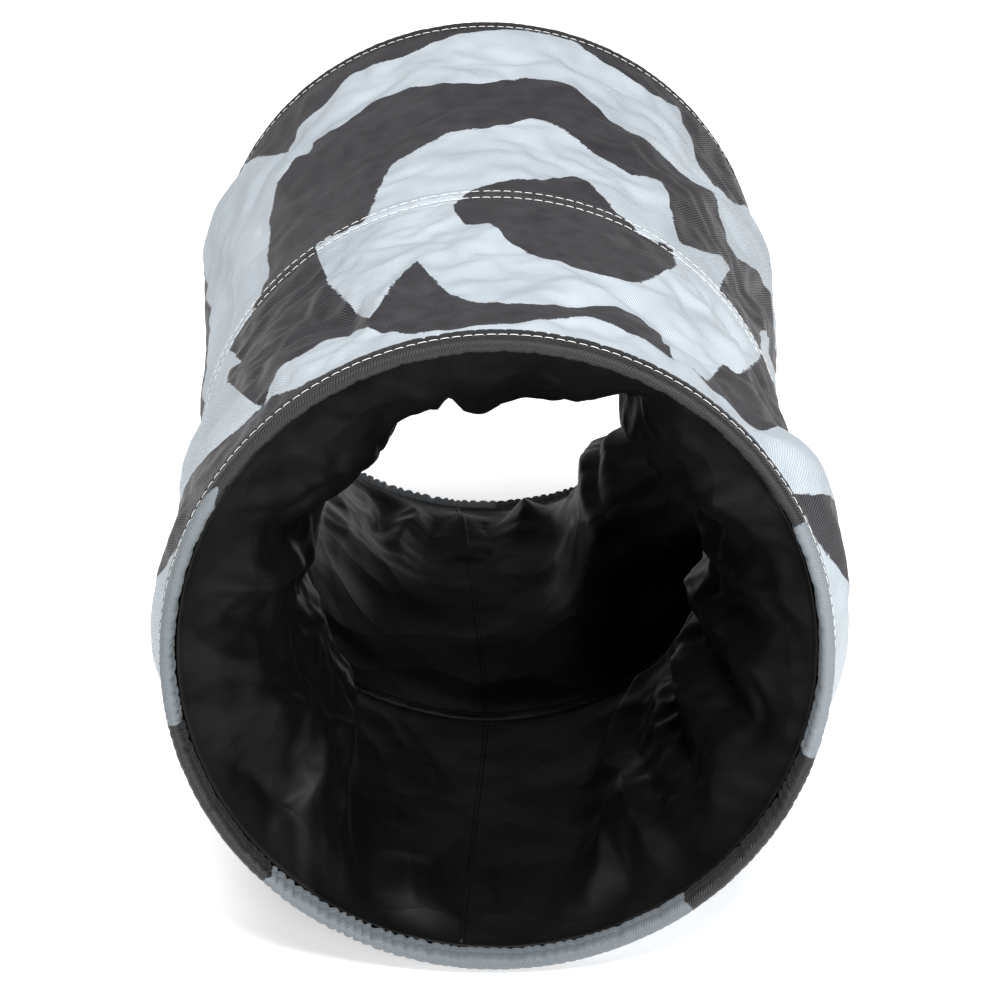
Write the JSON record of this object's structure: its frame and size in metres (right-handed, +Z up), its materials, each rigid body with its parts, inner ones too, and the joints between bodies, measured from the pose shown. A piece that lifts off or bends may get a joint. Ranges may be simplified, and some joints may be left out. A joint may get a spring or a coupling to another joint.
{
  "type": "agility tunnel",
  "caption": "Short collapsible pet tunnel: a printed fabric tube with a dark lining, held open by wire hoops sewn into its hems and middle seam.",
  "frame": {"origin": "on the floor, under the middle of the tunnel's length", "axes": "+Y along the tunnel, from the shorter front half to the longer rear half; +Z up; +X to the right when looking along +Y into the front opening"},
  "size_m": [0.2572, 0.4362, 0.2501],
  "materials": {
    "printed_twill": "printed polyester twill in blue-grey and charcoal patches, matt",
    "lining_cloth": "thin black polyester lining, soft sheen",
    "white_thread": "white sewing thread",
    "spring_steel": "drawn spring wire",
    "crimp_metal": "crimped sleeve"
  },
  "bodies": {
    "middle": {"middle_hoop_wire": "spring_steel", "middle_wire_sleeve": "crimp_metal", "middle_seam_casing": "printed_twill", "middle_front_stitching": "white_thread", "middle_rear_stitching": "white_thread", "middle_lining_ridge": "lining_cloth"},
    "front_fabric": {"front_outer_panel": "printed_twill", "front_lining": "lining_cloth", "front_side_seam": "printed_twill", "front_lining_seam": "lining_cloth"},
    "front_end": {"front_hoop_wire": "spring_steel", "front_wire_sleeve": "crimp_metal", "front_hem": "printed_twill", "front_hem_stitching": "white_thread"},
    "rear_fabric": {"rear_outer_panel": "printed_twill", "rear_lining": "lining_cloth", "rear_side_seam": "printed_twill", "rear_lining_seam": "lining_cloth"},
    "rear_end": {"rear_hoop_wire": "spring_steel", "rear_wire_sleeve": "crimp_metal", "rear_hem": "printed_twill", "rear_hem_stitching": "white_thread"}
  },
  "joints": [
    {"name": "front_collapse", "type": "slide", "parent": "middle", "child": "front_fabric", "axis": [0, 1, 0], "range_m": [0, 0.17688], "deforming": ["front_outer_panel", "front_lining", "front_side_seam", "front_lining_seam"]},
    {"name": "front_lean", "type": "hinge", "parent": "front_fabric", "child": "front_end", "pos_m": [0, -0.215, 0.00075], "axis": [1, 0, 0], "range_deg": [0, 4.22]},
    {"name": "rear_collapse", "type": "slide", "parent": "middle", "child": "rear_fabric", "axis": [0, -1, 0], "range_m": [0, 0.20381], "deforming": ["rear_outer_panel", "rear_lining", "rear_side_seam", "rear_lining_seam"]},
    {"name": "rear_lean", "type": "hinge", "parent": "rear_fabric", "child": "rear_end", "pos_m": [0, 0.215, 0.00066], "axis": [-1, 0, 0], "range_deg": [0, 3.74]}
  ],
  "couplings": [
    {"joint": "front_lean", "follows": "front_collapse", "rad_per_m": 0.4167},
    {"joint": "rear_lean", "follows": "rear_collapse", "rad_per_m": 0.3201}
  ]
}
